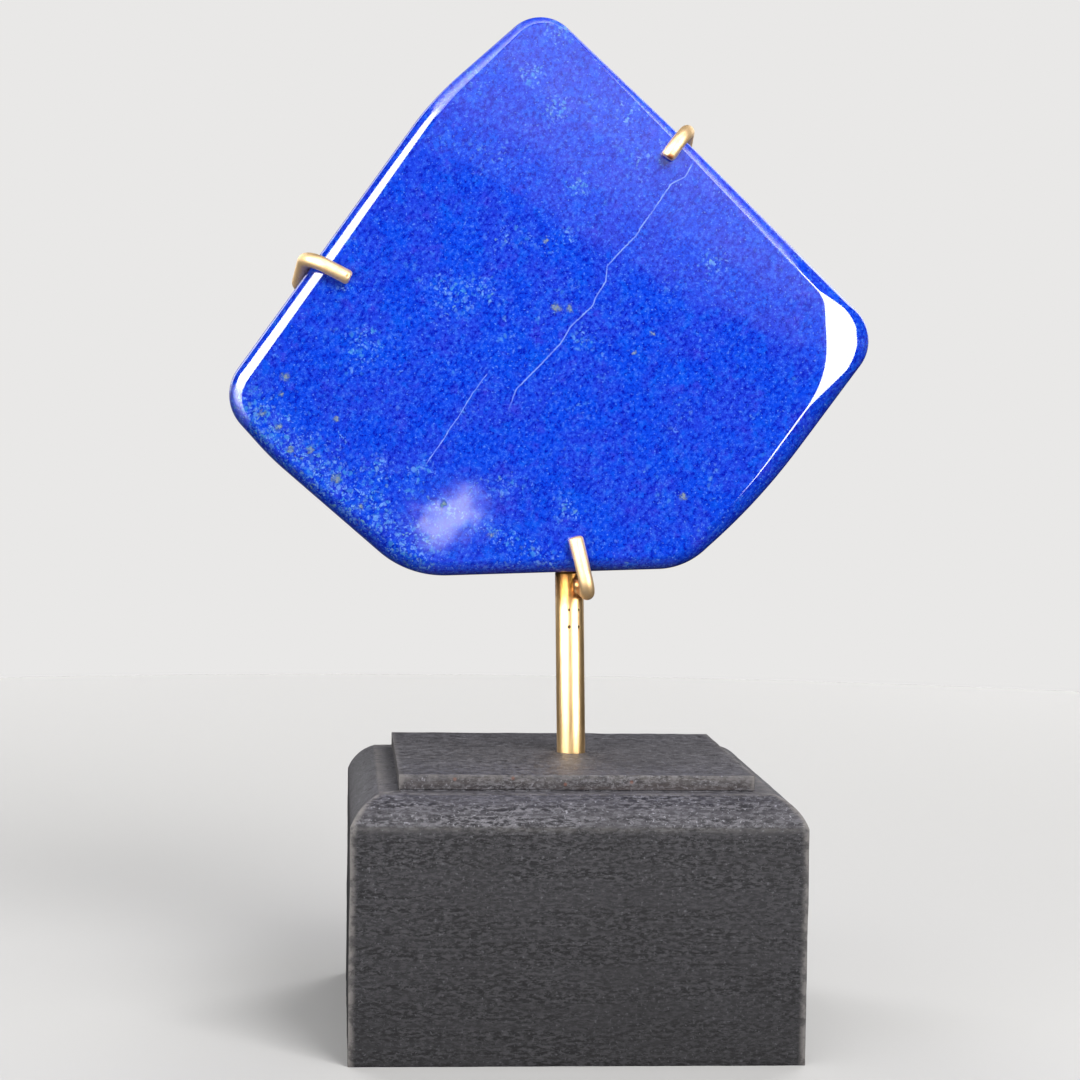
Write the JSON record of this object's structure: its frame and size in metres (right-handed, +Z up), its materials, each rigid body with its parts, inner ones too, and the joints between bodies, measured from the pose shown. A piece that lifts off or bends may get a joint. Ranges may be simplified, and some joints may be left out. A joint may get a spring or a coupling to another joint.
{
  "type": "polished lapis lazuli slab on a prong stand",
  "caption": "Polished five-sided lapis lazuli slab with rounded edges, held upright by brass wire prongs on a short post above a square black wooden block.",
  "frame": {"origin": "middle of the wooden block's underside", "axes": "+Z up through the stone, -Y out of the stone's polished front face, +X to the right as seen from the front"},
  "size_m": [0.1121, 0.075, 0.1752],
  "materials": {
    "lapis_lazuli": "polished",
    "black_stained_wood": "satin",
    "brass": "satin"
  },
  "bodies": {
    "root": {"stone": "lapis_lazuli", "base": "black_stained_wood", "post": "brass", "spine": "brass", "left_prong": "brass", "right_prong": "brass", "bottom_prong": "brass"}
  },
  "joints": []
}
